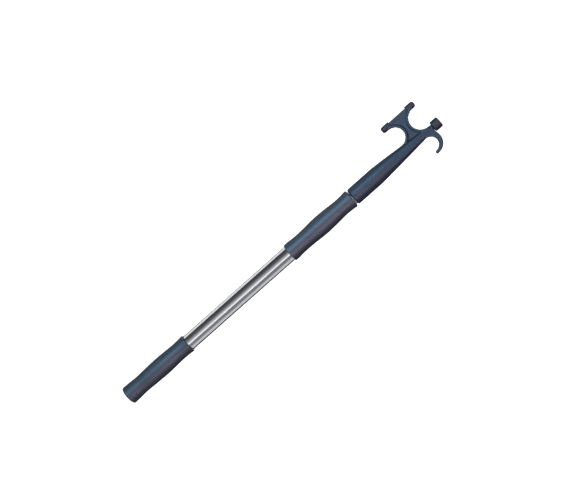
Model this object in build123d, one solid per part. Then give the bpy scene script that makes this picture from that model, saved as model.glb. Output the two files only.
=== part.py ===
from build123d import *
from math import atan2, degrees, radians, sin, sqrt
import os

# Telescoping boat hook, collapsed, lying on its side.
#
# Millimetres. The origin is the centre of the butt's flat face, on the pole's axis. +X runs along the
# pole to the hook head, +Y towards the head's cross bar and +Z is square to the head's plane.

# Tubes
OUTER_OD = 28.0
TUBE_WALL = 1.0
TELESCOPE_GAP = 0.5  # radial gap between the outer tube's bore and the inner tube
RUNNING = 0.07  # radial clearance of a part that slides or turns in another
END_PLAY = 0.2  # axial clearance beside a part that turns

# Grips: each profile is (share of the length, wall over the tube)
BUTT_GRIP_LENGTH = 140.4
BUTT_GRIP_WALLS = [
    (0, 2.6), (0.07, 2.4), (0.22, 1.5), (0.37, 2.25), (0.54, 2.8),
    (0.64, 2.6), (0.83, 1.5), (0.93, 1.9), (1, 2.75),
]
BUTT_WALL = 4.0  # closed end of the butt grip
EXPOSED_TUBE = 235.0  # bare tube between the two grips
FORE_GRIP_LENGTH = 139.2
FORE_GRIP_WALLS = [
    (0, 2.3), (0.05, 2.4), (0.17, 1.45), (0.30, 1.7), (0.48, 3.05),
    (0.64, 2.6), (0.83, 1.05), (0.92, 1.5), (1, 2.5),
]
GRIP_EDGE = 1.2  # rounding of a grip's rims

# Guide collar on the outer tube's mouth
COLLAR_WALL = 0.7
COLLAR_SLEEVE = 9.0
COLLAR_LIP = 4.0
COLLAR_PROUD = 0.8

# Bungs that close the tubes, with their seals
BUNG_FLANGE = 2.0
BUNG_LENGTH = 18.0
BUNG_WALL = 3.0
SEAL_SECTION = 1.1  # radius of the seal's cord
SEAL_STATION = 9.0  # from the flange to the seal's middle

# Twist lock at the inner tube's foot, listed from the butt end
LOCK_STATION = 30.0  # screw head's outer face
SCREW_HEAD_R, SCREW_HEAD_H = 4.2, 3.0
SCREW_R, SCREW_LENGTH = 2.0, 22.0
WASHER_R, WASHER_H = 10.5, 1.2
CAM_WIDTH = 12.0
CAM_JOURNAL_R = 8.0
CAM_SLOT = 1.6
CAM_LOCK_ANGLE = 35.0
CAM_CLEARANCE = 0.02
SHOULDER_H = 2.4
GLIDE_WIDTH = 6.0
GLIDE_WALL = 2.4
PLUG_LENGTH = 30.0  # spigot inside the inner tube
PIN_R, PIN_WALL = 1.5, 0.6
PIN_STATION = 14.6  # from the inner tube's foot
FLOAT_START, FLOAT_END_SPACE = 40.0, 64.3  # space left in the inner tube at its foot and its head end
FLOAT_GAP = 0.2

# Hook head, measured from its base
HEAD_GAP = 2.3  # between the collar and the head's base
SOCKET_WALL = 2.85
SOCKET_DEPTH = 42.0
SOCKET_EDGE = 2.2
SHAFT_START = 53.3
SHAFT_MID, SHAFT_MID_R, SHAFT_MID_DROP = 119.3, 10.35, 0.25
SHAFT_END, SHAFT_END_R, SHAFT_END_DROP = 176.3, 4.9, 0.9
FLAT_START, FLAT_END_HALF = 56.0, 3.4  # the flats' first station, and half the thickness at the tip
CORE_END, CORE_LEDGE, CORE_WALL = 98.0, 2.3, 4.2  # hollow past the socket, its ledge and its wall at the end
HEAD_SCREW_TO_BUNG = 3.0
HEAD_SCREW_R, HEAD_SCREW_HEAD_R, HEAD_SCREW_HEAD_H = 1.75, 3.6, 1.4
HEAD_SCREW_REACH = 6.5

# Cross bar on its web
WEB_REAR = 135.3  # station of the rear notch's throat
WEB_WAIST = 15.9
WEB_HALF = 3.0
REAR_NOTCH_R, FRONT_NOTCH_R = 17.2, 20.0
RIM_WIDTH, RIM_HALF, RIM_EDGE = 4.2, 5.0, 1.3
BAR_R = 3.5
CAP_R, CAP_LENGTH, CAP_END_ROUND, CAP_EDGE = 5.45, 17.0, 4.6, 0.6
REAR_CAP_COVER, FRONT_CAP_COVER = 7.9, 9.0  # how far each cap covers the bar past its notch's middle
SPIGOT_R, SPIGOT_REACH = 2.8, 13.0
BARB_R, BARB_LENGTH, BARB_INSET = 3.4, 2.0, 4.0

# Hook
HOOK_R, HOOK_PROUD = 13.3, 0.3  # throat radius, and how far the back reaches past the shaft's end
HOOK_ROOT, HOOK_TIP = 8.7, 5.2  # thickness at the side and at the tip
HOOK_CROWN = 7.5  # growth of radius round the crown
HOOK_HALF, HOOK_EDGE = 4.2, 2.3
HOOK_BACK_ANGLE = 8.0  # where the round back ends, above the pole's line
HOOK_SHOULDER = 1.7  # how far the hook's back stands behind the shaft's end

# Tip bumper
BUMPER_R, BUMPER_LENGTH, BUMPER_EDGE = 9.2, 14.5, 1.8
NOSE_R, NOSE_REACH, NOSE_BARB_R = 3.2, 10.5, 4.4

# Sizes that follow from the ones above
OUTER_R = OUTER_OD / 2
BORE_R = OUTER_R - TUBE_WALL
INNER_R = BORE_R - TELESCOPE_GAP
INNER_BORE_R = INNER_R - TUBE_WALL
TUBE_START = BUTT_WALL + BUNG_FLANGE
FORE_GRIP_START = BUTT_GRIP_LENGTH + EXPOSED_TUBE
FORE_GRIP_END = FORE_GRIP_START + FORE_GRIP_LENGTH
COLLAR_END = FORE_GRIP_END + COLLAR_PROUD
COLLAR_R = OUTER_R + COLLAR_WALL
TUBE_END = COLLAR_END - COLLAR_LIP
HEAD_BASE = COLLAR_END + HEAD_GAP
WASHER_START = LOCK_STATION + SCREW_HEAD_H
JOURNAL_START = WASHER_START + WASHER_H
SHOULDER_START = JOURNAL_START + CAM_WIDTH + 2 * END_PLAY
GLIDE_START = SHOULDER_START + SHOULDER_H + END_PLAY
INNER_START = GLIDE_START + GLIDE_WIDTH + END_PLAY
INNER_END = HEAD_BASE + SOCKET_DEPTH
ECCENTRICITY = (TELESCOPE_GAP - CAM_CLEARANCE) / (2 * sin(radians(CAM_LOCK_ANGLE) / 2))
GLIDE_R = BORE_R - RUNNING
GLIDE_BORE_R = GLIDE_R - GLIDE_WALL
SOCKET_R = INNER_R + SOCKET_WALL
HEAD_SCREW_STATION = SOCKET_DEPTH - BUNG_LENGTH - HEAD_SCREW_TO_BUNG
HOOK_STATION = SHAFT_END + HOOK_PROUD - HOOK_ROOT - HOOK_R
SHAFT = [
    (SHAFT_START, 0.0, SOCKET_R),
    (SHAFT_MID, SHAFT_MID_DROP, SHAFT_MID_R),
    (SHAFT_END, SHAFT_END_DROP, SHAFT_END_R),
]


def bar(start, end, radius, y=0.0):
    """Round bar along X."""
    along = (Align.CENTER, Align.CENTER, Align.MIN)
    return Location((start, y, 0), (0, 90, 0)) * Cylinder(radius, end - start, align=along)


def sleeve(start, end, outer, inner):
    """Round tube along X."""
    return bar(start, end, outer) - bar(start, end, inner)


def rounded_bar(start, end, radius, start_edge, end_edge, y=0.0):
    """Round bar along X with each rim rounded."""
    solid = bar(start, end, radius, y)
    rims = solid.edges().filter_by(GeomType.CIRCLE).sort_by(Axis.X)
    return fillet(rims[-1], end_edge).fillet(start_edge, [rims[0]])


def shaft_edge(station, side):
    """The shaft's edge in the head's plane at a station: side is 1 above the axis and -1 below."""
    for (x0, drop0, r0), (x1, drop1, r1) in zip(SHAFT, SHAFT[1:]):
        if station <= x1:
            break
    share = (station - x0) / (x1 - x0)
    return side * (r0 + share * (r1 - r0)) - (drop0 + share * (drop1 - drop0))


# Pole

def outer_tube():
    return sleeve(TUBE_START, TUBE_END, OUTER_R, BORE_R)


def inner_tube():
    tube = sleeve(INNER_START, INNER_END, INNER_R, INNER_BORE_R)
    return tube - plug_pin_hole() - head_screw_hole()


def grip_blank(start, length, walls):
    """Waisted grip, turned about the pole and still without its bore."""
    stations = [(start + share * length, OUTER_R + wall) for share, wall in walls]
    outline = Spline(*stations)
    ends = Polyline(stations[-1], (start + length, 0), (start, 0), stations[0])
    blank = revolve(make_face([outline, ends]), Axis.X)
    rims = blank.edges().filter_by(GeomType.CIRCLE).sort_by(Axis.X)
    return fillet([rims[0], rims[-1]], GRIP_EDGE)


def butt_grip():
    blank = grip_blank(0, BUTT_GRIP_LENGTH, BUTT_GRIP_WALLS)
    return blank - bar(BUTT_WALL, BUTT_GRIP_LENGTH, OUTER_R)


def fore_grip():
    blank = grip_blank(FORE_GRIP_START, FORE_GRIP_LENGTH, FORE_GRIP_WALLS)
    bore = bar(FORE_GRIP_START, FORE_GRIP_END, OUTER_R)
    return blank - bore - bar(TUBE_END - COLLAR_SLEEVE, FORE_GRIP_END, COLLAR_R)


def guide_collar():
    body = bar(TUBE_END - COLLAR_SLEEVE, COLLAR_END, COLLAR_R)
    rim = body.edges().filter_by(GeomType.CIRCLE).sort_by(Axis.X)[-1]
    body = fillet(rim, COLLAR_PROUD / 2)
    seat = bar(TUBE_END - COLLAR_SLEEVE, TUBE_END, OUTER_R)
    return body - seat - bar(TUBE_END, COLLAR_END, INNER_R + RUNNING)


# Bungs and seals

def bung(flange_face, towards, flange_r, plug_r):
    """Hollow bung pushed into a tube's end. Its spigot runs from the flange along towards (1 or -1)."""
    end = flange_face + towards * BUNG_LENGTH
    low, high = sorted((flange_face, end))
    flange_low, flange_high = sorted((flange_face, flange_face - towards * BUNG_FLANGE))
    seal_x = flange_face + towards * SEAL_STATION
    groove_r = plug_r - 2 * SEAL_SECTION
    groove = sleeve(seal_x - SEAL_SECTION, seal_x + SEAL_SECTION, flange_r, groove_r)
    body = bar(low, high, plug_r) + bar(flange_low, flange_high, flange_r)
    return body - bar(low, high, groove_r - BUNG_WALL) - groove


def seal(flange_face, towards, plug_r):
    """Seal ring in a bung's groove."""
    centre = Location((flange_face + towards * SEAL_STATION, 0, 0), (0, 90, 0))
    return centre * Torus(plug_r - SEAL_SECTION, SEAL_SECTION)


def butt_bung():
    return bung(TUBE_START, 1, OUTER_R, BORE_R)


def butt_seal():
    return seal(TUBE_START, 1, BORE_R)


def head_bung():
    return bung(INNER_END, -1, INNER_R, INNER_BORE_R)


def head_seal():
    return seal(INNER_END, -1, INNER_BORE_R)


# Twist lock

def plug_pin_hole():
    """Space of the cross pin, through the inner tube and the plug along Y."""
    return Location((INNER_START + PIN_STATION, 0, 0), (90, 0, 0)) * Cylinder(PIN_R, 2 * INNER_R)


def plug_pin():
    tube = plug_pin_hole() & bar(INNER_START, INNER_START + 2 * PIN_STATION, INNER_R)
    middle = Location((INNER_START + PIN_STATION, 0, 0), (90, 0, 0))
    return tube - middle * Cylinder(PIN_R - PIN_WALL, 2 * OUTER_R)


def cam_screw():
    head = rounded_bar(LOCK_STATION, WASHER_START, SCREW_HEAD_R, 1.2, 0.2)
    cross = Box(2.6, 4.4, 1.0) + Box(2.6, 1.0, 4.4)
    shank = bar(WASHER_START, WASHER_START + SCREW_LENGTH, SCREW_R)
    return head + shank - Pos(LOCK_STATION, 0, 0) * cross


def cam_washer():
    return sleeve(WASHER_START, JOURNAL_START, WASHER_R, SCREW_R)


def cam_ring():
    """Split ring whose bore is off its outside's centre. It spreads against the outer tube."""
    start = JOURNAL_START + END_PLAY
    end = start + CAM_WIDTH
    body = rounded_bar(start, end, INNER_R, 0.8, 0.8)
    slot = Box(CAM_WIDTH, INNER_R, CAM_SLOT)
    slot_centre = Pos((start + end) / 2, ECCENTRICITY - CAM_JOURNAL_R - INNER_R / 2 + 1, 0)
    return body - bar(start, end, CAM_JOURNAL_R + RUNNING, ECCENTRICITY) - slot_centre * slot


def cam_plug():
    journal = bar(JOURNAL_START, SHOULDER_START, CAM_JOURNAL_R, ECCENTRICITY)
    shoulder = bar(SHOULDER_START, SHOULDER_START + SHOULDER_H, INNER_R - TELESCOPE_GAP)
    glide_journal = bar(SHOULDER_START, INNER_START, GLIDE_BORE_R - RUNNING)
    spigot = bar(INNER_START, INNER_START + PLUG_LENGTH, INNER_BORE_R)
    screw_hole = bar(JOURNAL_START, WASHER_START + SCREW_LENGTH, SCREW_R)
    return journal + shoulder + glide_journal + spigot - screw_hole - plug_pin_hole()


def glide_ring():
    body = rounded_bar(GLIDE_START, GLIDE_START + GLIDE_WIDTH, GLIDE_R, 0.6, 0.6)
    return body - bar(GLIDE_START, GLIDE_START + GLIDE_WIDTH, GLIDE_BORE_R)


def float_core():
    return bar(INNER_START + FLOAT_START, INNER_END - FLOAT_END_SPACE, INNER_BORE_R - FLOAT_GAP)


# Hook head: these are in the head's own frame, whose X starts at its base

REAR_NOTCH_X = WEB_REAR - REAR_NOTCH_R
FRONT_NOTCH_X = WEB_REAR + WEB_WAIST + FRONT_NOTCH_R
REAR_NOTCH_Y = shaft_edge(REAR_NOTCH_X, 1) + REAR_NOTCH_R
BAR_Y = REAR_NOTCH_Y + REAR_NOTCH_R + CAP_R
FRONT_NOTCH_Y = BAR_Y - CAP_R - FRONT_NOTCH_R
REAR_CAP_END = REAR_NOTCH_X + REAR_CAP_COVER
FRONT_CAP_START = FRONT_NOTCH_X - FRONT_CAP_COVER
NOTCHES = [
    (REAR_NOTCH_X, REAR_NOTCH_Y, REAR_NOTCH_R),
    (FRONT_NOTCH_X, FRONT_NOTCH_Y, FRONT_NOTCH_R),
]
CAPS = [(REAR_CAP_END, -1), (FRONT_CAP_START, 1)]


def plate(sketch, half):
    """Plate of a flat outline, half its thickness each side of the head's plane."""
    return extrude(sketch, half, both=True)


def shaft():
    """Round, tapering shaft with a flat on its front and its back."""
    rings = [Location((x, -drop, 0), (0, 90, 0)) * Circle(radius) for x, drop, radius in SHAFT]
    body = loft(rings)
    far = 2 * SOCKET_R
    for side in (1, -1):
        edge = [(FLAT_START, side * SOCKET_R), (SHAFT_END, side * FLAT_END_HALF)]
        outline = Polyline(*edge, (SHAFT_END, side * far), (FLAT_START, side * far), close=True)
        body -= extrude(Plane.XZ * make_face(outline), far, both=True)
    return body


def socket():
    return rounded_bar(0, SHAFT_START, SOCKET_R, SOCKET_EDGE, 0.01)


def web():
    """Web between the shaft and the cross bar, with a raised rim round each notch."""
    width = FRONT_NOTCH_X - REAR_NOTCH_X
    field = Pos(REAR_NOTCH_X + width / 2, BAR_Y / 2) * Rectangle(width, BAR_Y)
    holes = [Pos(x, y) * Circle(radius) for x, y, radius in NOTCHES]
    panel = plate(field - holes[0] - holes[1], WEB_HALF)
    for hole, (x, y, radius) in zip(holes, NOTCHES):
        band = (Pos(x, y) * Circle(radius + RIM_WIDTH) - hole) & field
        rim = plate(band, RIM_HALF)
        throat = rim.edges().filter_by(GeomType.CIRCLE)
        panel += fillet(throat, RIM_EDGE)
    return panel


def cap_blank(end, way):
    """Outside of a bar cap: its open end is at end, and it reaches along way (1 or -1)."""
    low, high = sorted((end, end + way * CAP_LENGTH))
    edges = (CAP_EDGE, CAP_END_ROUND) if way > 0 else (CAP_END_ROUND, CAP_EDGE)
    return rounded_bar(low, high, CAP_R, *edges, y=BAR_Y)


def cap_spigot(end, way):
    """Spigot of the cross bar inside a cap, with its barb."""
    low, high = sorted((end, end + way * SPIGOT_REACH))
    barb = end + way * (SPIGOT_REACH - BARB_INSET)
    barb_low, barb_high = sorted((barb, barb + way * BARB_LENGTH))
    return bar(low, high, SPIGOT_R, BAR_Y) + bar(barb_low, barb_high, BARB_R, BAR_Y)


def nose():
    """Nose of the shaft inside the bumper, with its barb."""
    barb = SHAFT_END + NOSE_REACH - BARB_INSET
    stem = bar(SHAFT_END, SHAFT_END + NOSE_REACH, NOSE_R, -SHAFT_END_DROP)
    return stem + bar(barb, barb + BARB_LENGTH, NOSE_BARB_R, -SHAFT_END_DROP)


def hook():
    """Hook that opens back along the pole, between two arcs that a round tip joins."""
    throat_centre = Vector(HOOK_STATION, shaft_edge(HOOK_STATION, -1) - HOOK_R)
    tip_r = HOOK_TIP / 2
    tip_centre = throat_centre - Vector(0, HOOK_R + tip_r)
    back_r = HOOK_R + HOOK_CROWN
    shift = HOOK_ROOT - HOOK_CROWN
    back_centre = tip_centre + Vector(shift, sqrt((back_r - tip_r) ** 2 - shift ** 2))
    tip_way = (tip_centre - back_centre).normalized()
    tip_angle = degrees(atan2(tip_way.Y, tip_way.X))
    throat = CenterArc(throat_centre, HOOK_R, 90, -180)
    tip = ThreePointArc(throat @ 1, tip_centre - Vector(tip_r, 0), tip_centre + tip_way * tip_r)
    back = CenterArc(back_centre, back_r, tip_angle, HOOK_BACK_ANGLE - tip_angle)
    root_x = SHAFT_END - HOOK_SHOULDER
    root = Polyline(back @ 1, (root_x, shaft_edge(root_x, -1)), (root_x, 0), (HOOK_STATION, 0), throat @ 0)
    body = plate(make_face([throat, tip, back, root]), HOOK_HALF)
    return fillet(body.faces().filter_by(Axis.Z).edges(), HOOK_EDGE)


def back_hole(radius, start, length):
    """Upright hole at the head screw's station, from start and up."""
    up = (Align.CENTER, Align.CENTER, Align.MIN)
    return Pos(HEAD_BASE + HEAD_SCREW_STATION, 0, start) * Cylinder(radius, length, align=up)


def head_screw_hole():
    """Space of the head screw, through the socket's back into the inner tube."""
    return back_hole(HEAD_SCREW_R, -SOCKET_R, HEAD_SCREW_REACH)


def head_screw_seat():
    return back_hole(HEAD_SCREW_HEAD_R, -SOCKET_R - 1, HEAD_SCREW_HEAD_H + 1)


def head_screw():
    head = head_screw_seat() & bar(HEAD_BASE, HEAD_BASE + SOCKET_DEPTH, SOCKET_R)
    cross = Box(3.8, 0.9, 1.6) + Box(0.9, 3.8, 1.6)
    place = Pos(HEAD_BASE + HEAD_SCREW_STATION, 0, -SOCKET_R)
    return head + head_screw_hole() - place * cross


def core():
    """Hollow of the head past the tube's bung."""
    flat_share = (CORE_END - FLAT_START) / (SHAFT_END - FLAT_START)
    end_half = SOCKET_R + flat_share * (FLAT_END_HALF - SOCKET_R)
    start = SOCKET_DEPTH + BUNG_FLANGE
    sections = [(start, INNER_R - CORE_LEDGE), (CORE_END, end_half - CORE_WALL)]
    return loft([Location((x, 0, 0), (0, 90, 0)) * Circle(radius) for x, radius in sections])


def hook_head():
    body = socket() + shaft() + web() + hook() + nose()
    body += bar(REAR_CAP_END, FRONT_CAP_START, BAR_R, BAR_Y)
    body -= [cap_blank(*cap) for cap in CAPS]
    body += [cap_spigot(*cap) for cap in CAPS]
    body -= bar(0, SOCKET_DEPTH + BUNG_FLANGE, INNER_R) + core()
    return Pos(HEAD_BASE, 0, 0) * body - head_screw_hole() - head_screw_seat()


def tip_bumper():
    end = SHAFT_END + BUMPER_LENGTH
    blank = rounded_bar(SHAFT_END, end, BUMPER_R, BUMPER_EDGE, BUMPER_EDGE, y=-SHAFT_END_DROP)
    return Pos(HEAD_BASE, 0, 0) * (blank - nose())


def rear_bar_cap():
    return Pos(HEAD_BASE, 0, 0) * (cap_blank(*CAPS[0]) - cap_spigot(*CAPS[0]))


def front_bar_cap():
    return Pos(HEAD_BASE, 0, 0) * (cap_blank(*CAPS[1]) - cap_spigot(*CAPS[1]))


PARTS = [
    outer_tube, butt_grip, butt_bung, butt_seal, fore_grip, guide_collar,
    glide_ring,
    inner_tube, cam_plug, plug_pin, cam_washer, cam_screw, float_core, head_bung, head_seal,
    hook_head, head_screw, tip_bumper, rear_bar_cap, front_bar_cap,
    cam_ring,
]

os.makedirs("parts", exist_ok=True)
for make in PARTS:
    export_step(make(), f"parts/{make.__name__}.step")
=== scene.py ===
"""Looks of a telescoping twist-lock boat hook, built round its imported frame.

Every length is in metres. +X runs along the pole to the hook head, +Y from the pole towards the head's
cross bar, and +Z is square to the head's plane. The pole lies on its side, collapsed.
"""

import logging
import math
from dataclasses import dataclass
from enum import Enum

import bmesh
import bpy
from mathutils import Matrix, Vector


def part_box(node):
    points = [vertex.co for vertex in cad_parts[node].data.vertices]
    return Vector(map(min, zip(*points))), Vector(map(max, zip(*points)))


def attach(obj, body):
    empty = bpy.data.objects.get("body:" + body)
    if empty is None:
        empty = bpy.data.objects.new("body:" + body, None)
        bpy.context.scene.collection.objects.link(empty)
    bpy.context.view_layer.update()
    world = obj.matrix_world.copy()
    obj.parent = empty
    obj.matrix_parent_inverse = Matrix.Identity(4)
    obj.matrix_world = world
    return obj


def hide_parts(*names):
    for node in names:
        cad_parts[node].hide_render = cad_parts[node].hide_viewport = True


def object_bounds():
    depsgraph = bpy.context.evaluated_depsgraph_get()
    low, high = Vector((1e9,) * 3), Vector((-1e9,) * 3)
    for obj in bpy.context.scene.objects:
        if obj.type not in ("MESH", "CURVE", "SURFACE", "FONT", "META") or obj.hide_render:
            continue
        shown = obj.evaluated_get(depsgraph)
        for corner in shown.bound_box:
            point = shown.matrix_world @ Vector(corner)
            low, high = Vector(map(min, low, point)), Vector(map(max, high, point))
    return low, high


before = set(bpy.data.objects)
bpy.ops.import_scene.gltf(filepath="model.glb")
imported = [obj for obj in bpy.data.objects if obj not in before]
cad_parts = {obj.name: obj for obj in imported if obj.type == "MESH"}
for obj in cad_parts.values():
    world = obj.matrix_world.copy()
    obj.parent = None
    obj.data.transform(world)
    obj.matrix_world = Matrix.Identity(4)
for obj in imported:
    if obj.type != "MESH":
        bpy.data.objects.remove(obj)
CAD_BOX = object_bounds()

MM = 0.001
FULL_TURN = 2 * math.pi
TURN_STEPS = 128
SHARP_EDGE = math.radians(32)
ARC_STEPS = 40
FLAT_SPOT, DEEP_CORNER = 0.495, 0.44  # pointiness where the painted corner shade starts, and where it hides the colour
LOG = logging.getLogger("boat_hook")


class Body(Enum):
    """Rigid bodies of the frame that new pieces ride on."""

    OUTER = "outer_pole"
    INNER = "inner_pole"


class Slot(Enum):
    """Material slots of the record, passed to new pieces but not read by them."""

    TUBE = "pole_tube"
    GRIP = "grip"
    HEAD = "head"
    BUMPER = "bumper"
    COLLAR = "collar"


# ---------------------------------------------------------------------------------------------------
# Finishes
# ---------------------------------------------------------------------------------------------------


def linear(hex_colour: str) -> tuple[float, float, float, float]:
    """Turn an sRGB hex colour into the linear colour that a shader takes.

    Args:
        hex_colour: Six hex digits, such as "5b6e82".

    Returns:
        Red, green, blue and an alpha of 1, all linear.
    """
    parts = [int(hex_colour[i:i + 2], 16) / 255 for i in (0, 2, 4)]
    red, green, blue = (p / 12.92 if p <= 0.04045 else ((p + 0.055) / 1.055) ** 2.4 for p in parts)
    return red, green, blue, 1.0


def add_node(tree: bpy.types.NodeTree, kind: str, settings: dict, inputs: dict) -> bpy.types.Node:
    """Add a shader node with its settings, values and links.

    Args:
        tree: The node tree to add to.
        kind: The node's type name.
        settings: Node properties by name.
        inputs: Values or output sockets by the name or number of the input they go to.

    Returns:
        The new node.
    """
    node = tree.nodes.new(kind)
    for name, value in settings.items():
        setattr(node, name, value)
    for name, value in inputs.items():
        if isinstance(value, bpy.types.NodeSocket):
            tree.links.new(value, node.inputs[name])
        else:
            node.inputs[name].default_value = value
    return node


@dataclass(frozen=True)
class Finish:
    """A real material and how its surface was made.

    Each finish has a base colour with a slightly different second tone, a roughness that varies, and a
    relief. Its subclasses say what pattern those follow. A corner shade colour is painted shade in inside
    corners.
    """

    name: str
    colour: str
    second_colour: str
    roughness: float
    roughness_spread: float
    grain: float
    relief: float
    metallic: float = 0.0
    ior: float = 1.5
    specular: float = 0.5
    painted_corner_shade: str = ""

    def material(self) -> bpy.types.Material:
        """Build the finish's material, or find it if it was built before.

        Returns:
            The material.
        """
        found = bpy.data.materials.get(self.name)
        if found:
            return found
        made = bpy.data.materials.new(self.name)
        made.use_nodes = True
        tree = made.node_tree
        tree.nodes.clear()
        place = add_node(tree, "ShaderNodeTexCoord", {}, {}).outputs["Object"]
        tone, gloss, height = self.pattern(tree, place)
        colour = add_node(tree, "ShaderNodeMix", {"data_type": "RGBA"}, {
            0: tone, 6: linear(self.colour), 7: linear(self.second_colour)})
        # Painted shade: inside corners, found by the mesh's pointiness, are mixed towards the corner shade
        # colour in place of the shade that falls there.
        if self.painted_corner_shade:
            corner = add_node(tree, "ShaderNodeNewGeometry", {}, {}).outputs["Pointiness"]
            painted_shade = add_node(tree, "ShaderNodeMapRange", {"interpolation_type": "SMOOTHSTEP"}, {
                "Value": corner, "From Min": DEEP_CORNER, "From Max": FLAT_SPOT,
                "To Min": 1.0, "To Max": 0.0})
            colour = add_node(tree, "ShaderNodeMix", {"data_type": "RGBA"}, {
                0: painted_shade.outputs[0], 6: colour.outputs[2], 7: linear(self.painted_corner_shade)})
        rough = add_node(tree, "ShaderNodeMapRange", {}, {
            "Value": gloss,
            "To Min": self.roughness - self.roughness_spread,
            "To Max": self.roughness + self.roughness_spread})
        relief = add_node(tree, "ShaderNodeBump", {}, {
            "Strength": 1.0, "Distance": self.relief, "Height": height})
        shader = add_node(tree, "ShaderNodeBsdfPrincipled", {}, {
            "Base Color": colour.outputs[2], "Roughness": rough.outputs[0],
            "Normal": relief.outputs[0], "Metallic": self.metallic,
            "Specular IOR Level": self.specular})
        if not self.metallic:
            shader.inputs["IOR"].default_value = self.ior
        add_node(tree, "ShaderNodeOutputMaterial", {}, {"Surface": shader.outputs[0]})
        return made

    def noise(self, tree: bpy.types.NodeTree, place: bpy.types.NodeSocket, size: float,
              stretch: tuple[float, float, float] = (1, 1, 1), detail: float = 3.0) -> bpy.types.NodeSocket:
        """Add a noise pattern.

        Args:
            tree: The node tree to add to.
            place: The coordinates to read.
            size: Width of one blotch in metres.
            stretch: How many times longer a blotch is along each axis.
            detail: Octaves of finer noise.

        Returns:
            The noise's value, about 0 to 1.
        """
        scale = tuple(1 / (size * share) for share in stretch)
        spread = add_node(tree, "ShaderNodeMapping", {}, {"Vector": place, "Scale": scale})
        return add_node(tree, "ShaderNodeTexNoise", {}, {
            "Vector": spread.outputs[0], "Scale": 1.0, "Detail": detail}).outputs[0]

    def pattern(self, tree: bpy.types.NodeTree, place: bpy.types.NodeSocket) -> tuple:
        """Add the nodes of the finish's pattern.

        Args:
            tree: The node tree to add to.
            place: Object coordinates.

        Returns:
            Sockets of the second tone's share, the gloss pattern and the relief's height.
        """
        raise NotImplementedError


@dataclass(frozen=True)
class Moulded(Finish):
    """Injection moulded plastic: fine spark-eroded grain, slow tone changes and a parting line."""

    parting: float = 0.2 * MM
    parting_height: float = 2.0
    flow_grains: float = 24.0

    def pattern(self, tree: bpy.types.NodeTree, place: bpy.types.NodeSocket) -> tuple:
        """Add slow flow marks, fine grain and a thin raised line where the mould halves met.

        Args:
            tree: The node tree to add to.
            place: Object coordinates.

        Returns:
            Sockets of tone, gloss and height.
        """
        flow = self.noise(tree, place, self.flow_grains * self.grain, (3, 1, 1))
        grain = self.noise(tree, place, self.grain)
        split = add_node(tree, "ShaderNodeSeparateXYZ", {}, {0: place})
        above = add_node(tree, "ShaderNodeMath", {"operation": "ABSOLUTE"}, {0: split.outputs["Z"]})
        line = add_node(tree, "ShaderNodeMapRange", {"interpolation_type": "SMOOTHSTEP"}, {
            "Value": above.outputs[0], "From Min": 0.0, "From Max": self.parting,
            "To Min": self.parting_height, "To Max": 0.0})
        height = add_node(tree, "ShaderNodeMath", {"operation": "ADD"}, {0: grain, 1: line.outputs[0]})
        return flow, grain, height.outputs[0]


@dataclass(frozen=True)
class Drawn(Finish):
    """Drawn tube, clear anodised: long faint die lines along the tube."""

    line_length: float = 90 * MM
    cloud_grains: float = 40.0

    def pattern(self, tree: bpy.types.NodeTree, place: bpy.types.NodeSocket) -> tuple:
        """Add lines stretched along X, drawn several times wider than real ones so that they show.

        Args:
            tree: The node tree to add to.
            place: Object coordinates.

        Returns:
            Sockets of tone, gloss and height.
        """
        ratio = self.line_length / self.grain
        lines = self.noise(tree, place, self.grain, (ratio, 1, 1), 4.0)
        cloud = self.noise(tree, place, self.cloud_grains * self.grain, (2, 1, 1))
        return cloud, lines, lines


@dataclass(frozen=True)
class Turned(Finish):
    """Turned or rolled steel: fine rings round X."""

    ring_grains: float = 40.0
    cloud_grains: float = 20.0

    def pattern(self, tree: bpy.types.NodeTree, place: bpy.types.NodeSocket) -> tuple:
        """Add tool marks that run round X.

        Args:
            tree: The node tree to add to.
            place: Object coordinates.

        Returns:
            Sockets of tone, gloss and height.
        """
        rings = self.noise(tree, place, self.grain, (1, self.ring_grains, self.ring_grains))
        cloud = self.noise(tree, place, self.cloud_grains * self.grain)
        return cloud, rings, rings


@dataclass(frozen=True)
class Cellular(Finish):
    """Closed-cell foam: a skin of burst cells."""

    cloud_grains: float = 8.0

    def pattern(self, tree: bpy.types.NodeTree, place: bpy.types.NodeSocket) -> tuple:
        """Add round cells.

        Args:
            tree: The node tree to add to.
            place: Object coordinates.

        Returns:
            Sockets of tone, gloss and height.
        """
        cells = add_node(tree, "ShaderNodeTexVoronoi", {}, {"Vector": place, "Scale": 1 / self.grain})
        cloud = self.noise(tree, place, self.cloud_grains * self.grain)
        return cloud, cells.outputs["Distance"], cells.outputs["Distance"]


# Thermoplastic rubber over a hard core, moulded with a fine matt grain: soft, slightly dusty slate blue.
GRIP_RUBBER = Moulded("tpe_moulded_slate", "3c474f", "38424a", 0.5, 0.02, 0.7 * MM, 0.003 * MM,
                      ior=1.48, specular=0.5)
# Glass-filled nylon, moulded with a satin grain: harder and darker than the grips.
# Its inside corners get painted shade, darker by the mesh's curvature, not a pigment of the nylon.
HEAD_NYLON = Moulded("nylon_moulded_satin", "34414c", "303c46", 0.52, 0.02, 0.5 * MM, 0.002 * MM,
                     ior=1.53, specular=0.36, painted_corner_shade="12161b")
# Soft vinyl tips, dip-moulded: darkest and mattest of the dark parts.
TIP_VINYL = Moulded("vinyl_moulded_matt", "31373f", "2d333a", 0.58, 0.02, 0.6 * MM, 0.002 * MM,
                    ior=1.46, specular=0.5)
# Acetal collar, moulded: hard, dark blue, a little shiny.
COLLAR_ACETAL = Moulded("acetal_moulded", "33415a", "2c384e", 0.4, 0.05, 0.5 * MM, 0.006 * MM, ior=1.48)
# Inner aluminium tube, drawn, etched and anodised: a dull grey that spreads its reflections.
INNER_ALUMINIUM = Drawn("aluminium_drawn_satin", "c2cad2", "b8c0c8", 0.42, 0.03, 0.5 * MM, 0.002 * MM,
                        metallic=1.0)
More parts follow.
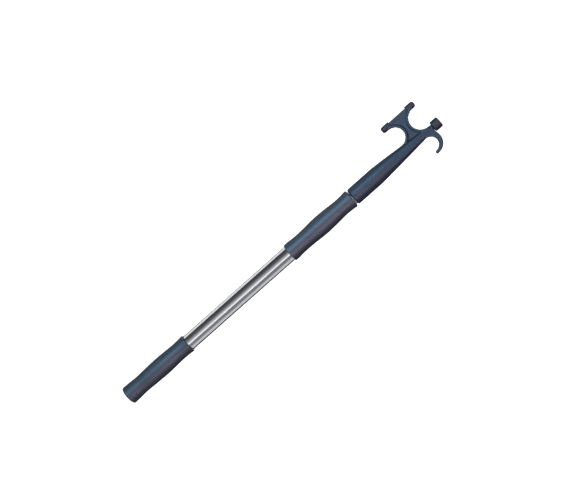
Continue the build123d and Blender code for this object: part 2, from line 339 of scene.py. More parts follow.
# Outer aluminium tube, drawn and clear anodised: bright, with die lines along it.
TUBE_ALUMINIUM = Drawn("aluminium_drawn_anodised", "dcdde0", "cfd1d5", 0.2, 0.04, 0.5 * MM, 0.002 * MM,
                       metallic=1.0)
# Natural acetal, moulded: creamy and waxy, inside the tubes.
LOCK_ACETAL = Moulded("acetal_natural", "d9d5c8", "cec9ba", 0.45, 0.05, 0.5 * MM, 0.008 * MM, ior=1.48)
# Grey nylon, moulded: the cam ring.
CAM_NYLON = Moulded("nylon_moulded_grey", "8f9398", "84888d", 0.5, 0.06, 0.4 * MM, 0.01 * MM, ior=1.53)
# Nitrile rubber, moulded: black and matt.
SEAL_NITRILE = Moulded("nitrile_moulded", "1d1d1f", "262628", 0.55, 0.05, 0.3 * MM, 0.006 * MM, ior=1.52)
# Stainless steel, cold formed and passivated: pale grey with fine tool marks.
SCREW_STEEL = Turned("stainless_cold_formed", "c6c5c2", "b6b5b1", 0.3, 0.06, 0.15 * MM, 0.004 * MM,
                     metallic=1.0)
# Polyethylene foam, extruded: white with small cells.
FLOAT_FOAM = Cellular("polyethylene_foam", "e6e5df", "d8d7cf", 0.8, 0.05, 1.2 * MM, 0.15 * MM, ior=1.5)


class Lit(Enum):
    """What a lamp is aimed at: the satin plastics, the bright metals, or the paper round them."""

    PLASTICS = "plastic_pieces"
    METALS = "metal_pieces"
    PAPER = "paper_sheets"

    def group(self) -> bpy.types.Collection:
        """Find or start the group of pieces."""
        return bpy.data.collections.get(self.value) or bpy.data.collections.new(self.value)

    @classmethod
    def sort(cls, piece: bpy.types.Object, finish: Finish) -> None:
        """Put a piece in the group that its finish belongs to."""
        (cls.METALS if finish.metallic else cls.PLASTICS).group().objects.link(piece)


# ---------------------------------------------------------------------------------------------------
# Shapes
# ---------------------------------------------------------------------------------------------------


class Shape:
    """One piece's bmesh and the operators that shape it."""

    def __init__(self) -> None:
        """Start with an empty bmesh."""
        self.bm = bmesh.new()

    def turn(self, outline: list[tuple[float, float]], axis_y: float = 0.0, closed: bool = False,
             steps: int = TURN_STEPS) -> None:
        """Spin an outline about a line along X.

        Args:
            outline: Points of (x, radius) in order.
            axis_y: The line's place along Y.
            closed: Whether the last point joins the first, as on a tube's wall.
            steps: Faces round the turn.
        """
        verts = [self.bm.verts.new((x, axis_y, radius)) for x, radius in outline]
        ends = verts[1:] + verts[:1] if closed else verts[1:]
        edges = [self.bm.edges.new(pair) for pair in zip(verts, ends)
                 if any(v.co.z > 0 for v in pair)]
        bmesh.ops.spin(self.bm, geom=verts + edges, cent=(0, axis_y, 0), axis=(1, 0, 0),
                       angle=FULL_TURN, steps=steps, use_merge=True)
        bmesh.ops.remove_doubles(self.bm, verts=self.bm.verts, dist=MM / 1000)

    def round_rims(self, radius: float, low_x: float, high_x: float, segments: int = 4,
                   outside: float = 0.0, axis_y: float = 0.0) -> None:
        """Bevel the sharp edges that lie between two stations.

        Args:
            radius: How far the bevel reaches from the edge.
            low_x: The first station.
            high_x: The last station.
            segments: Faces across the bevel.
            outside: Only edges farther than this from the turning axis are bevelled.
            axis_y: The axis's place along Y.
        """
        bmesh.ops.recalc_face_normals(self.bm, faces=self.bm.faces)
        edges = [e for e in self.bm.edges if e.is_manifold and e.calc_face_angle() > SHARP_EDGE
                 and all(low_x <= v.co.x <= high_x and math.hypot(v.co.y - axis_y, v.co.z) >= outside
                         for v in e.verts)]
        bmesh.ops.bevel(self.bm, geom=edges, offset=radius, segments=segments, profile=0.5,
                        affect="EDGES", material=-1, clamp_overlap=True)

    def plate(self, loop: list[bmesh.types.BMVert], half: float, edge: float) -> None:
        """Fill a flat loop in the head's plane and give it thickness both ways and rounded edges.

        Args:
            loop: The outline's vertices, in order, with z at 0.
            half: Half the plate's thickness.
            edge: Radius of the edges of both faces.
        """
        face = self.bm.faces.new(loop)
        bmesh.ops.translate(self.bm, verts=face.verts, vec=(0, 0, -half))
        grown = bmesh.ops.extrude_face_region(self.bm, geom=[face])["geom"]
        top = [g for g in grown if isinstance(g, bmesh.types.BMVert)]
        bmesh.ops.translate(self.bm, verts=top, vec=(0, 0, 2 * half))
        rims = [e for e in self.bm.edges if e.is_valid and abs(e.verts[0].co.z - e.verts[1].co.z) < half
                and e.verts[0] in top or e.verts[0] in loop and e.verts[1] in loop]
        if edge:
            bmesh.ops.bevel(self.bm, geom=rims, offset=edge, segments=4, profile=0.5, affect="EDGES",
                            material=-1, clamp_overlap=True)
        self.drop_wires()

    def drop_wires(self) -> None:
        """Delete the edges and vertices that no face uses."""
        wires = [e for e in self.bm.edges if not e.link_faces]
        bmesh.ops.delete(self.bm, geom=wires, context="EDGES")
        bmesh.ops.delete(self.bm, geom=[v for v in self.bm.verts if not v.link_faces], context="VERTS")

    def arc(self, centre: tuple[float, float], radius: float, start: float, sweep: float,
            steps: int = ARC_STEPS) -> list[bmesh.types.BMVert]:
        """Spin one vertex into an arc in the head's plane.

        Args:
            centre: The arc's centre in X and Y.
            radius: The arc's radius.
            start: Angle of its first point in degrees, from +X towards +Y.
            sweep: How far it turns in degrees, below 0 for clockwise.
            steps: Edges along the arc.

        Returns:
            The arc's vertices in order.
        """
        first = math.radians(start)
        seed = self.bm.verts.new((centre[0] + radius * math.cos(first),
                                  centre[1] + radius * math.sin(first), 0))
        known = set(self.bm.verts)
        bmesh.ops.spin(self.bm, geom=[seed], cent=(*centre, 0), axis=(0, 0, 1),
                       angle=math.radians(sweep), steps=steps, use_merge=False)
        return [seed] + [v for v in self.bm.verts if v not in known]

    def take_in(self, other: "Shape") -> None:
        """Add another shape's bmesh to this one, as a shell of its own.

        Args:
            other: The shape to add, which is used up.
        """
        bmesh.ops.recalc_face_normals(other.bm, faces=other.bm.faces)
        mesh = bpy.data.meshes.new("shell")
        other.bm.to_mesh(mesh)
        other.bm.free()
        self.bm.from_mesh(mesh)
        bpy.data.meshes.remove(mesh)

    def fuse(self, voxel: float, passes: int) -> None:
        """Grow overlapping closed shells into one skin with soft inner corners.

        Args:
            voxel: Size of the grid that the skin is made on.
            passes: How many times the new skin is smoothed.
        """
        draft = self.as_object("draft")
        remesh = draft.modifiers.new("skin", "REMESH")
        remesh.mode, remesh.voxel_size = "VOXEL", voxel
        self._take_result(draft)
        for _ in range(passes):
            bmesh.ops.smooth_vert(self.bm, verts=self.bm.verts, factor=0.5,
                                  use_axis_x=True, use_axis_y=True, use_axis_z=True)

    def cut(self, tool: "Shape") -> None:
        """Take a closed shape out of this one.

        Args:
            tool: The shape to take out, which is used up.
        """
        draft, cutter = self.as_object("draft"), tool.as_object("cutter")
        carve = draft.modifiers.new("carve", "BOOLEAN")
        carve.operation, carve.solver, carve.object = "DIFFERENCE", "EXACT", cutter
        self._take_result(draft)
        bpy.data.objects.remove(cutter)

    def _take_result(self, draft: bpy.types.Object) -> None:
        """Start the bmesh again from a draft with its modifiers applied, and remove the draft.

        Args:
            draft: The object to read.
        """
        bpy.context.view_layer.update()
        result = bpy.data.meshes.new_from_object(
            draft.evaluated_get(bpy.context.evaluated_depsgraph_get()))
        bpy.data.objects.remove(draft)
        self.bm = bmesh.new()
        self.bm.from_mesh(result)
        bpy.data.meshes.remove(result)

    def as_object(self, name: str) -> bpy.types.Object:
        """Turn the bmesh into a linked object with smooth faces and sharp corners kept.

        Args:
            name: The object's name.

        Returns:
            The object, at the origin.
        """
        bmesh.ops.recalc_face_normals(self.bm, faces=self.bm.faces)
        for face in self.bm.faces:
            face.smooth = True
        for edge in self.bm.edges:
            edge.smooth = not edge.is_manifold or edge.calc_face_angle() < SHARP_EDGE
        mesh = bpy.data.meshes.new(name)
        self.bm.to_mesh(mesh)
        self.bm.free()
        made = bpy.data.objects.new(name, mesh)
        bpy.context.scene.collection.objects.link(made)
        return made

    def finish(self, name: str, finish: Finish, body: Body, slot: Slot, *nodes: str) -> bpy.types.Object:
        """Turn the bmesh into a finished piece.

        Args:
            name: The piece's name.
            finish: What it is made of.
            body: The frame's body it rides on.
            slot: Not used.
            nodes: CAD nodes it stands for.

        Returns:
            The piece.
        """
        piece = self.as_object(name)
        piece.data.materials.append(finish.material())
        Lit.sort(piece, finish)
        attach(piece, body.value)
        if nodes:
            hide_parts(*nodes)
        LOG.info("%s: %d faces on %s", name, len(piece.data.polygons), body.value)
        return piece


def smooth_wall(walls: tuple[tuple[float, float], ...], share: float) -> float:
    """Read a wall profile at any share of the length, through its stations in one smooth curve.

    Args:
        walls: Stations of (share of the length, wall).
        share: Where to read it, 0 to 1.

    Returns:
        The wall there.
    """
    last = len(walls) - 1
    i = min(max(j for j in range(last + 1) if walls[j][0] <= share), last - 1)
    (s0, w0), (s1, w1) = walls[i], walls[i + 1]

    def slope(j: int) -> float:
        """Slope at a station, from its neighbours."""
        (sa, wa), (sb, wb) = walls[max(j - 1, 0)], walls[min(j + 1, last)]
        return (wb - wa) / (sb - sa)

    t, span = (share - s0) / (s1 - s0), s1 - s0
    from_left = w0 * (1 + 2 * t) * (1 - t) ** 2 + slope(i) * span * t * (1 - t) ** 2
    from_right = w1 * t * t * (3 - 2 * t) + slope(i + 1) * span * t * t * (t - 1)
    return from_left + from_right


# ---------------------------------------------------------------------------------------------------
# Sub-assemblies
# ---------------------------------------------------------------------------------------------------


@dataclass
class Tube:
    """One drawn tube of the pole, with its ends deburred."""

    node: str
    body: Body
    finish: Finish
    wall: float = 1.0 * MM
    deburr: float = 0.15 * MM

    def build(self) -> bpy.types.Object:
        """Turn the tube's wall.

        Returns:
            The tube.
        """
        low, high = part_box(self.node)
        shape = Shape()
        inner = high.z - self.wall
        shape.turn([(low.x, inner), (low.x, high.z), (high.x, high.z), (high.x, inner)], closed=True)
        shape.round_rims(self.deburr, low.x, high.x, segments=2)
        return shape.finish(self.node + "_drawn", self.finish, self.body, Slot.TUBE, self.node)


@dataclass
class Grip:
    """A waisted grip moulded over the outer tube."""

    node: str
    walls: tuple[tuple[float, float], ...]
    closed_end: bool = False
    end_wall: float = 4.0 * MM
    stations: int = 72
    rim: float = 1.2 * MM
    mouth_rim: float = 0.35 * MM
    dish_radius: float = 10.5 * MM
    dish_depth: float = 0.7 * MM
    gate_radius: float = 1.6 * MM

    def build(self) -> bpy.types.Object:
        """Turn the grip about the tube.

        Returns:
            The grip.
        """
        low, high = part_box(self.node)
        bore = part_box("outer_tube")[1].z
        length = high.x - low.x
        shares = [i / self.stations for i in range(self.stations + 1)]
        skin = [(low.x + s * length, bore + smooth_wall(self.walls, s)) for s in shares]
        shape = Shape()
        if self.closed_end:
            dish = low.x + self.dish_depth
            end = [(low.x + self.dish_depth / 2, 0), (low.x + self.dish_depth / 2, self.gate_radius),
                   (dish, self.gate_radius), (dish, self.dish_radius), (low.x, self.dish_radius)]
            pocket = [(high.x, bore), (low.x + self.end_wall, bore), (low.x + self.end_wall, 0)]
            shape.turn(end + skin + pocket)
        else:
            shape.turn(skin + [(high.x, bore), (low.x, bore)], closed=True)
        self._round(shape, low.x, high.x)
        return shape.finish(self.node + "_moulded", GRIP_RUBBER, Body.OUTER, Slot.GRIP, self.node)

    def _round(self, shape: Shape, start: float, end: float) -> None:
        """Round the grip's two rims."""
        shape.round_rims(self.rim if not self.closed_end else self.mouth_rim, start - MM, start + MM / 4)
        shape.round_rims(self.rim / 2, end - MM / 4, end + MM)


@dataclass
class Collar:
    """Guide collar in the fore grip's mouth."""

    node: str = "guide_collar"
    play: float = 0.07 * MM
    rim: float = 0.35 * MM

    def build(self) -> bpy.types.Object:
        """Turn the collar.

        Returns:
            The collar.
        """
        low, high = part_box(self.node)
        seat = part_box("outer_tube")[1]
        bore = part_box("inner_tube")[1].z + self.play
        shape = Shape()
        shape.turn([(low.x, seat.z), (low.x, high.z), (high.x, high.z), (high.x, bore), (seat.x, bore),
                    (seat.x, seat.z)], closed=True)
        shape.round_rims(self.rim, high.x - MM, high.x + MM)
        return shape.finish("guide_collar_moulded", COLLAR_ACETAL, Body.OUTER, Slot.COLLAR, self.node)


@dataclass
class Head:
    """Moulded hook head: socket, flatted shaft, web with two rimmed notches, cross bar and hook."""

    node: str = "hook_head"
    socket_length: float = 53.3 * MM
    socket_edge: float = 2.2 * MM
    shaft_mid: float = 119.3 * MM
    shaft_mid_radius: float = 10.35 * MM
    shaft_mid_drop: float = 0.25 * MM
    shaft_end_radius: float = 4.9 * MM
    shaft_end_drop: float = 0.9 * MM
    shaft_rings: int = 48
    shaft_in_socket: float = 4.0 * MM
    flat_start: float = 56.0 * MM
    flat_end_half: float = 3.4 * MM
    rear_notch: float = 17.2 * MM
    front_notch: float = 20.0 * MM
    rear_cover: float = 7.9 * MM
    front_cover: float = 9.0 * MM
    web_half: float = 2.4 * MM
    web_in_shaft: float = 3.0 * MM
    rim_width: float = 4.2 * MM
    rim_half: float = 5.0 * MM
    rim_edge: float = 0.8 * MM
    bar_radius: float = 3.5 * MM
    bar_in_cap: float = 10.0 * MM
    bar_steps: int = 48
    hook_throat: float = 13.3 * MM
    hook_proud: float = 0.3 * MM
    hook_root: float = 8.7 * MM
    hook_crown: float = 7.5 * MM
    hook_tip: float = 5.2 * MM
    hook_tip_steps: int = 12
    hook_half: float = 4.2 * MM
    hook_edge: float = 3.2 * MM
    hook_back_angle: float = 8.0
    hook_shoulder: float = 1.7 * MM
    screw_head: float = 1.4 * MM
    screw_play: float = 0.15 * MM
    skin_grid: float = 0.56 * MM
    skin_passes: int = 6

    def __post_init__(self) -> None:
        """Read where the head sits from the frame."""
        low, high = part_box(self.node)
        self.base = low.x
        self.socket_radius = high.z
        self.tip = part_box("tip_bumper")[0].x
        self.lowest = low.y
        rear_low, rear_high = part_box("rear_bar_cap")
        self.cap_radius = (rear_high.z - rear_low.z) / 2
        self.bar_y = (rear_low.y + rear_high.y) / 2
        self.rear_cap_end = rear_high.x
        self.front_cap_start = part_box("front_bar_cap")[0].x
        self.bore_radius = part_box("inner_tube")[1].z
        self.bore_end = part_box("head_bung")[1].x

    def _shaft_at(self, x: float) -> tuple[float, float]:
        """Radius and drop of the shaft at a station, on one smooth curve.

        Args:
            x: The station.

        Returns:
            The radius, and how far the centre lies below the pole's axis.
        """
        start, mid, end = self.base + self.socket_length, self.base + self.shaft_mid, self.tip
        if x <= start:
            return self.socket_radius, 0.0
        first = (x - mid) * (x - end) / ((start - mid) * (start - end))
        second = (x - start) * (x - end) / ((mid - start) * (mid - end))
        third = (x - start) * (x - mid) / ((end - start) * (end - mid))
        radius = (first * self.socket_radius + second * self.shaft_mid_radius
                  + third * self.shaft_end_radius)
        return radius, second * self.shaft_mid_drop + third * self.shaft_end_drop

    def _socket(self) -> Shape:
        """Turn the socket with its bore.

        Returns:
            The socket, as a closed shell.
        """
        end = self.base + self.socket_length
        shape = Shape()
        shape.turn([(self.base, self.bore_radius), (self.base, self.socket_radius),
                    (end, self.socket_radius), (end, 0), (self.bore_end, 0),
                    (self.bore_end, self.bore_radius)], closed=True)
        shape.round_rims(self.socket_edge, self.base - MM, self.base + MM, segments=6,
                         outside=self.socket_radius - MM)
        return shape

    def _shaft(self) -> Shape:
        """Grow the shaft ring by ring from the socket and cut its two flats.

        Returns:
            The shaft, as a closed shell.
        """
        shape = Shape()
        shaft = shape.bm
        start = self.base + self.socket_length - self.shaft_in_socket
        bmesh.ops.create_circle(shaft, cap_ends=True, radius=self.socket_radius, segments=TURN_STEPS,
                                matrix=Matrix.Translation((start, 0, 0)) @ Matrix.Rotation(
                                    math.pi / 2, 4, "Y"))
        edges = shaft.edges[:]
        radius, drop = self.socket_radius, 0.0
        step = (self.tip - start) / self.shaft_rings
        for i in range(1, self.shaft_rings + 1):
            grown = bmesh.ops.extrude_edge_only(shaft, edges=edges)["geom"]
            verts = [g for g in grown if isinstance(g, bmesh.types.BMVert)]
            edges = [g for g in grown if isinstance(g, bmesh.types.BMEdge)]
            new_radius, new_drop = self._shaft_at(start + step * i)
            share = new_radius / radius
            bmesh.ops.scale(shaft, verts=verts, vec=(1, share, share),
                            space=Matrix.Translation((0, drop, 0)))
            bmesh.ops.translate(shaft, verts=verts, vec=(step, drop - new_drop, 0))
            radius, drop = new_radius, new_drop
        bmesh.ops.contextual_create(shaft, geom=edges)
        flat_x = self.base + self.flat_start
        run, fall = self.tip - flat_x, self.socket_radius - self.flat_end_half
        for side in (1, -1):
            cut = bmesh.ops.bisect_plane(
                shaft, geom=shaft.verts[:] + shaft.edges[:] + shaft.faces[:], clear_outer=True,
                plane_co=(flat_x, 0, side * self.socket_radius), plane_no=(fall, 0, side * run))
            rim = [g for g in cut["geom_cut"] if isinstance(g, bmesh.types.BMEdge)]
            bmesh.ops.contextual_create(shaft, geom=rim)
        return shape

    def _notches(self) -> list[tuple[tuple[float, float], float, int]]:
        """Find the two notches from the caps.

        Returns:
            Each notch's centre, radius and way, -1 towards the butt and 1 towards the tip.
        """
        top = self.bar_y - self.cap_radius
        rear = (self.rear_cap_end - self.rear_cover, top - self.rear_notch)
        front = (self.front_cap_start + self.front_cover, top - self.front_notch)
        return [(rear, self.rear_notch, -1), (front, self.front_notch, 1)]

    def _web(self) -> Shape:
        """Build the recessed web between the notches.

        Returns:
            The web, as a closed shell.
        """
        (rear, rear_r, _), (front, front_r, _) = self._notches()
        floor_y = min(rear[1] - rear_r, front[1] - front_r) - self.web_in_shaft
        shape = Shape()
        left = shape.arc(rear, rear_r, 90, -180)
        right = shape.arc(front, front_r, 270, -180)
        corners = [shape.bm.verts.new((x, y, 0)) for x, y in (
            (rear[0], floor_y), (front[0], floor_y), (front[0], self.bar_y), (rear[0], self.bar_y))]
        shape.plate(left + corners[:2] + right + corners[2:], self.web_half, 0)
        return shape

    def _rim(self, centre: tuple[float, float], radius: float, way: int) -> Shape:
        """Build the raised rim round one notch.

        Args:
            centre: The notch's centre.
            radius: The notch's radius.
            way: Which way its back faces, -1 towards the butt and 1 towards the tip.

        Returns:
            The rim, as a closed shell.
        """
        shape = Shape()
        inner = shape.arc(centre, radius, 90, way * 180)
        outer = shape.arc(centre, radius + self.rim_width, 90, way * 180)
        shape.plate(inner + outer[::-1], self.rim_half, self.rim_edge)
        return shape

    def _bar(self) -> Shape:
        """Turn the round cross bar, which ends inside its caps.

        Returns:
            The bar, as a closed shell.
        """
        start, end = self.rear_cap_end - self.bar_in_cap, self.front_cap_start + self.bar_in_cap
        shape = Shape()
        shape.turn([(start, 0), (start, self.bar_radius), (end, self.bar_radius), (end, 0)],
                   axis_y=self.bar_y, steps=self.bar_steps)
        return shape

    def _hook(self) -> Shape:
        """Build the hook between its throat and its back, with a round tip.

        Returns:
            The hook, as a closed shell.
        """
        tip_r = self.hook_tip / 2
        back_r = self.hook_throat + self.hook_crown
        shift = self.hook_root - self.hook_crown
        lift = math.sqrt((back_r - tip_r) ** 2 - shift ** 2)
        throat = (self.tip + self.hook_proud - self.hook_root - self.hook_throat,
                  self.lowest + back_r - lift + self.hook_throat + tip_r)
        tip = (throat[0], throat[1] - self.hook_throat - tip_r)
        back = (tip[0] + shift, tip[1] + lift)
        tip_angle = math.degrees(math.atan2(tip[1] - back[1], tip[0] - back[0]))
        shape = Shape()
        points = shape.arc(throat, self.hook_throat, 90, -180)
        points += shape.arc(tip, tip_r, 90, 270 + tip_angle, self.hook_tip_steps)[1:]
        points += shape.arc(back, back_r, tip_angle, self.hook_back_angle - tip_angle)[1:]
        shoulder = self.tip - self.hook_shoulder
        points += [shape.bm.verts.new((x, y, 0)) for x, y in (
            (shoulder, -self.shaft_end_radius), (shoulder, 0), (throat[0], 0))]
        shape.plate(points, self.hook_half, self.hook_edge)
        return shape

    def _screw_seat(self) -> Shape:
        """Make the round tool that sinks the screw's seat into the socket's back.

        Returns:
            The tool, as a closed shell.
        """
        low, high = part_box("head_screw")
        radius = (high.x - low.x) / 2 + self.screw_play
        depth = self.screw_head + MM
        shape = Shape()
        bmesh.ops.create_cone(shape.bm, cap_ends=True, segments=64, radius1=radius, radius2=radius,
                              depth=depth, matrix=Matrix.Translation((
                                  (low.x + high.x) / 2, 0, low.z + self.screw_head - depth / 2)))
        return shape

    def build(self) -> bpy.types.Object:
        """Build the head in shells and grow them into one moulding.

        Returns:
            The head.
        """
        rims = [self._rim(*notch) for notch in self._notches()]
        shape = Shape()
        for shell in [self._socket(), self._shaft(), self._web(), *rims, self._bar(), self._hook()]:
            shape.take_in(shell)
        shape.fuse(self.skin_grid, self.skin_passes)
        shape.cut(self._screw_seat())
        return shape.finish("hook_head_moulded", HEAD_NYLON, Body.INNER, Slot.HEAD, self.node)


@dataclass
class SoftTip:
    """A soft tip pushed on the head: a bar cap or the end bumper."""

    node: str
    open_at_low: bool
    round_end: float
    mouth: float = 0.6 * MM
    dimple_radius: float = 1.2 * MM
    dimple_depth: float = 0.25 * MM
    inset: float = 0.02 * MM

    def build(self) -> bpy.types.Object:
        """Turn the tip about its own axis.

        Returns:
            The tip.
        """
        low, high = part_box(self.node)
        radius = min(high.y - low.y, high.z - low.z) / 2 - self.inset
        centre = (low.y + high.y) / 2
        end, mouth = (high.x, low.x) if self.open_at_low else (low.x, high.x)
        inwards = -1 if self.open_at_low else 1
        shape = Shape()
        dimple = end + inwards * self.dimple_depth
        shape.turn([(dimple, 0), (dimple, self.dimple_radius), (end, self.dimple_radius), (end, radius),
                    (mouth, radius), (mouth, 0)], axis_y=centre)
        for x, edge, segments in ((end, self.round_end, 10), (mouth, self.mouth, 4)):
            shape.round_rims(edge, x - MM / 10, x + MM / 10, segments, radius - MM / 10, centre)
        return shape.finish(self.node + "_moulded", TIP_VINYL, Body.INNER, Slot.BUMPER, self.node)


@dataclass
class InnerWorks:
    """CAD nodes whose own shape is shown: the twist lock, bungs, seals, float and screws."""

    finishes: tuple[tuple[str, Finish], ...] = (
        ("butt_bung", LOCK_ACETAL), ("head_bung", LOCK_ACETAL), ("cam_plug", LOCK_ACETAL),
        ("glide_ring", LOCK_ACETAL), ("cam_ring", CAM_NYLON), ("butt_seal", SEAL_NITRILE),
        ("head_seal", SEAL_NITRILE), ("plug_pin", SCREW_STEEL), ("cam_washer", SCREW_STEEL),
        ("cam_screw", SCREW_STEEL), ("head_screw", SCREW_STEEL), ("float_core", FLOAT_FOAM),
    )

    def dress(self) -> None:
        """Give each node its material."""
        for node, finish in self.finishes:
            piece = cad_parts[node]
            for slot in piece.material_slots:
                slot.material = finish.material()
            Lit.sort(piece, finish)
            LOG.info("%s: %s", node, finish.name)


# ---------------------------------------------------------------------------------------------------
# Studio
# ---------------------------------------------------------------------------------------------------


class Seen(Enum):
    """What a lamp or a backdrop acts on, as (diffuse, glossy)."""

    BOTH = (True, True)
    GLOSSY = (False, True)
    NEITHER = (False, False)

    def set_on(self, thing: bpy.types.Object) -> None:
        """Set an object's ray visibility."""
        thing.visible_diffuse, thing.visible_glossy = self.value


@dataclass(frozen=True)
class Panel:
    """A soft light panel round the pole.

    Its angle is measured from straight above towards +Y, and its heading turns it about the upright.
    """

    name: str
    lit: Lit
    angle: float
    spread: float
    radiance: float
    colour: str = "ffffff"
    seen: Seen = Seen.BOTH
    distance: float = 1.4
    length: float = 3.0
    heading: float = 0.0

    def place(self, aim: Vector) -> None:
        """Put the panel up, turned to the aim.

        Args:
            aim: The point that it faces.
        """
        width = 2 * self.distance * math.tan(math.radians(self.spread) / 2)
        lamp = bpy.data.lights.new(self.name, "AREA")
        lamp.shape, lamp.size, lamp.size_y = "RECTANGLE", self.length, width
        lamp.energy = self.radiance * math.pi * self.length * width
        lamp.color = linear(self.colour)[:3]
        holder = bpy.data.objects.new(self.name, lamp)
        turn = (Matrix.Rotation(math.radians(self.heading), 4, "Z")
                @ Matrix.Rotation(-math.radians(self.angle), 4, "X"))
        holder.matrix_world = Matrix.Translation(aim) @ turn @ Matrix.Translation((0, 0, self.distance))
        bpy.context.scene.collection.objects.link(holder)
        holder.light_linking.receiver_collection = self.lit.group()
        self.seen.set_on(holder)


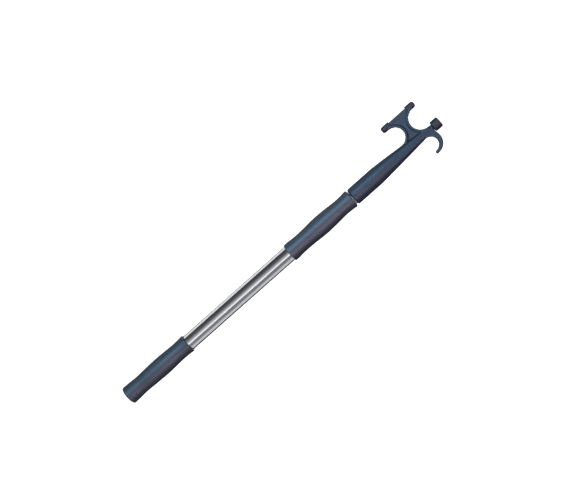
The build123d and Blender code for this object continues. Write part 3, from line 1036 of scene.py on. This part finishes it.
@dataclass
class Studio:
    """Plain pale floor and backdrop, soft panels and the camera."""

    aim_share: float = 0.53878
    aim_side: float = 5.68 * MM
    distance: float = 1.64637
    tilt: float = 6.117
    roll: float = 3.83
    slope: float = 41.56
    lens: float = 60.1
    sensor: float = 36.0
    contrast: float = 0.6
    floor_half: float = 20.0
    swing_room: float = 21.0 * MM
    paper_glow: float = 0.9
    paper_grey: float = 0.8
    room_grey: float = 0.1
    flash: float = 40.0
    flash_radius: float = 0.07
    panels: tuple[Panel, ...] = (
        Panel("key_panel", Lit.PLASTICS, 30, 34, 13.0, "d2e6f6", length=1.7),
        Panel("warm_panel", Lit.PLASTICS, -36, 32, 9.6, "ffdada", length=1.7),
        Panel("flank_panel", Lit.PLASTICS, 104, 26, 2.6, "ffe4bc", length=1.2),
        Panel("bounce_panel", Lit.PLASTICS, 180, 30, 9.0, length=1.2),
        Panel("strip_panel", Lit.METALS, -20, 20, 1.4, seen=Seen.GLOSSY),
        Panel("middle_panel", Lit.METALS, 2, 24, 0.7, seen=Seen.GLOSSY),
        Panel("dim_panel", Lit.METALS, 40, 56, 0.16, seen=Seen.GLOSSY),
        Panel("near_dim_panel", Lit.METALS, 24, 18, 0.2, seen=Seen.GLOSSY),
        Panel("side_panel", Lit.METALS, -52, 36, 0.4, seen=Seen.GLOSSY),
        Panel("far_card", Lit.METALS, 112, 54, 1.12, seen=Seen.GLOSSY),
        Panel("near_card", Lit.METALS, -100, 56, 0.88, seen=Seen.GLOSSY),
        Panel("tip_end_card", Lit.METALS, 74, 60, 0.9, seen=Seen.GLOSSY, length=2.4, heading=-90),
        Panel("butt_end_card", Lit.METALS, 74, 60, 0.9, seen=Seen.GLOSSY, length=2.4, heading=90),
        Panel("tip_end_panel", Lit.PLASTICS, 100, 36, 5.0, length=2.4, heading=-90),
        Panel("butt_end_panel", Lit.PLASTICS, 100, 36, 5.0, length=2.4, heading=90),
    )

    def build(self) -> None:
        """Set up the floor, the lights, the world and the camera."""
        low, high = CAD_BOX
        aim = Vector((low.x + self.aim_share * (high.x - low.x), self.aim_side, 0))
        self._paper(low.z - self.swing_room)
        self._world()
        for panel in self.panels:
            panel.place(aim)
        self._camera(aim)
        view = bpy.context.scene.view_settings
        view.view_transform, view.gamma = "Standard", self.contrast

    def _paper(self, height: float) -> None:
        """Lay a wide, pale floor and hang the same paper round the room.

        Args:
            height: The floor's place along Z, low enough for the head to turn above it.
        """
        flat, dome = Shape(), Shape()
        bmesh.ops.create_grid(flat.bm, x_segments=1, y_segments=1, size=self.floor_half,
                              matrix=Matrix.Translation((0, 0, height)))
        bmesh.ops.create_uvsphere(dome.bm, u_segments=48, v_segments=24, radius=self.floor_half * 0.9)
        for name, shape in (("floor", flat), ("backdrop", dome)):
            paper = shape.as_object(name)
            made = bpy.data.materials.new(name + "_paper")
            made.use_nodes = True
            tree = made.node_tree
            tree.nodes.clear()
            shader = add_node(tree, "ShaderNodeBsdfPrincipled", {}, {
                "Base Color": (*[self.paper_grey] * 3, 1), "Roughness": 0.9, "Specular IOR Level": 0.0,
                "Emission Color": (1, 1, 1, 1), "Emission Strength": self.paper_glow})
            add_node(tree, "ShaderNodeOutputMaterial", {}, {"Surface": shader.outputs[0]})
            paper.data.materials.append(made)
            Lit.PAPER.group().objects.link(paper)
            Seen.NEITHER.set_on(paper)
            paper.visible_shadow = False

    def _flash(self, place: Matrix) -> None:
        """Light the paper alone from where the camera stands, so that the shadow lies under the pole.

        Args:
            place: The camera's place.
        """
        lamp = bpy.data.lights.new("paper_lamp", "POINT")
        lamp.energy, lamp.shadow_soft_size = self.flash, self.flash_radius
        holder = bpy.data.objects.new("paper_lamp", lamp)
        holder.matrix_world = place
        bpy.context.scene.collection.objects.link(holder)
        holder.light_linking.receiver_collection = Lit.PAPER.group()

    def _world(self) -> None:
        """Give the room a dim, even grey."""
        world = bpy.data.worlds.new("room")
        world.use_nodes = True
        background = world.node_tree.nodes["Background"]
        background.inputs["Color"].default_value = (*[self.room_grey] * 3, 1)
        bpy.context.scene.world = world

    def _camera(self, aim: Vector) -> None:
        """Stand the camera above the pole, with the pole's line sloping up across the picture.

        Args:
            aim: The point that it looks at.
        """
        tilt, roll, slope = (math.radians(a) for a in (self.tilt, self.roll, self.slope))
        back = Vector((math.sin(tilt), -math.cos(tilt) * math.sin(roll), math.cos(tilt) * math.cos(roll)))
        along = (Vector((1, 0, 0)) - back * back.x).normalized()
        across = back.cross(along)
        right = along * math.cos(slope) - across * math.sin(slope)
        up = along * math.sin(slope) + across * math.cos(slope)
        lens = bpy.data.cameras.new("camera")
        lens.lens, lens.sensor_width = self.lens, self.sensor
        camera = bpy.data.objects.new("camera", lens)
        turn = Matrix((right, up, back)).transposed()
        camera.matrix_world = Matrix.Translation(aim + back * self.distance) @ turn.to_4x4()
        self._flash(camera.matrix_world)
        bpy.context.scene.collection.objects.link(camera)
        bpy.context.scene.camera = camera


BUTT_WALLS = ((0, 2.6 * MM), (0.07, 2.4 * MM), (0.22, 1.5 * MM), (0.37, 2.25 * MM), (0.54, 2.8 * MM),
              (0.64, 2.6 * MM), (0.83, 1.5 * MM), (0.93, 1.9 * MM), (1, 2.75 * MM))
FORE_WALLS = ((0, 2.3 * MM), (0.05, 2.4 * MM), (0.17, 1.45 * MM), (0.30, 1.7 * MM), (0.48, 3.05 * MM),
              (0.64, 2.6 * MM), (0.83, 1.05 * MM), (0.92, 1.5 * MM), (1, 2.5 * MM))


def main() -> None:
    """Build the studio and every piece, and log each piece's face count."""
    logging.basicConfig(level=logging.INFO, format="%(name)s %(message)s")
    Studio().build()
    Tube("outer_tube", Body.OUTER, TUBE_ALUMINIUM).build()
    Tube("inner_tube", Body.INNER, INNER_ALUMINIUM).build()
    Grip("butt_grip", BUTT_WALLS, closed_end=True).build()
    Grip("fore_grip", FORE_WALLS).build()
    Collar().build()
    Head().build()
    SoftTip("rear_bar_cap", open_at_low=False, round_end=4.6 * MM).build()
    SoftTip("front_bar_cap", open_at_low=True, round_end=4.6 * MM).build()
    SoftTip("tip_bumper", open_at_low=True, round_end=1.8 * MM, mouth=1.8 * MM).build()
    InnerWorks().dress()


if __name__ == "__main__":
    main()
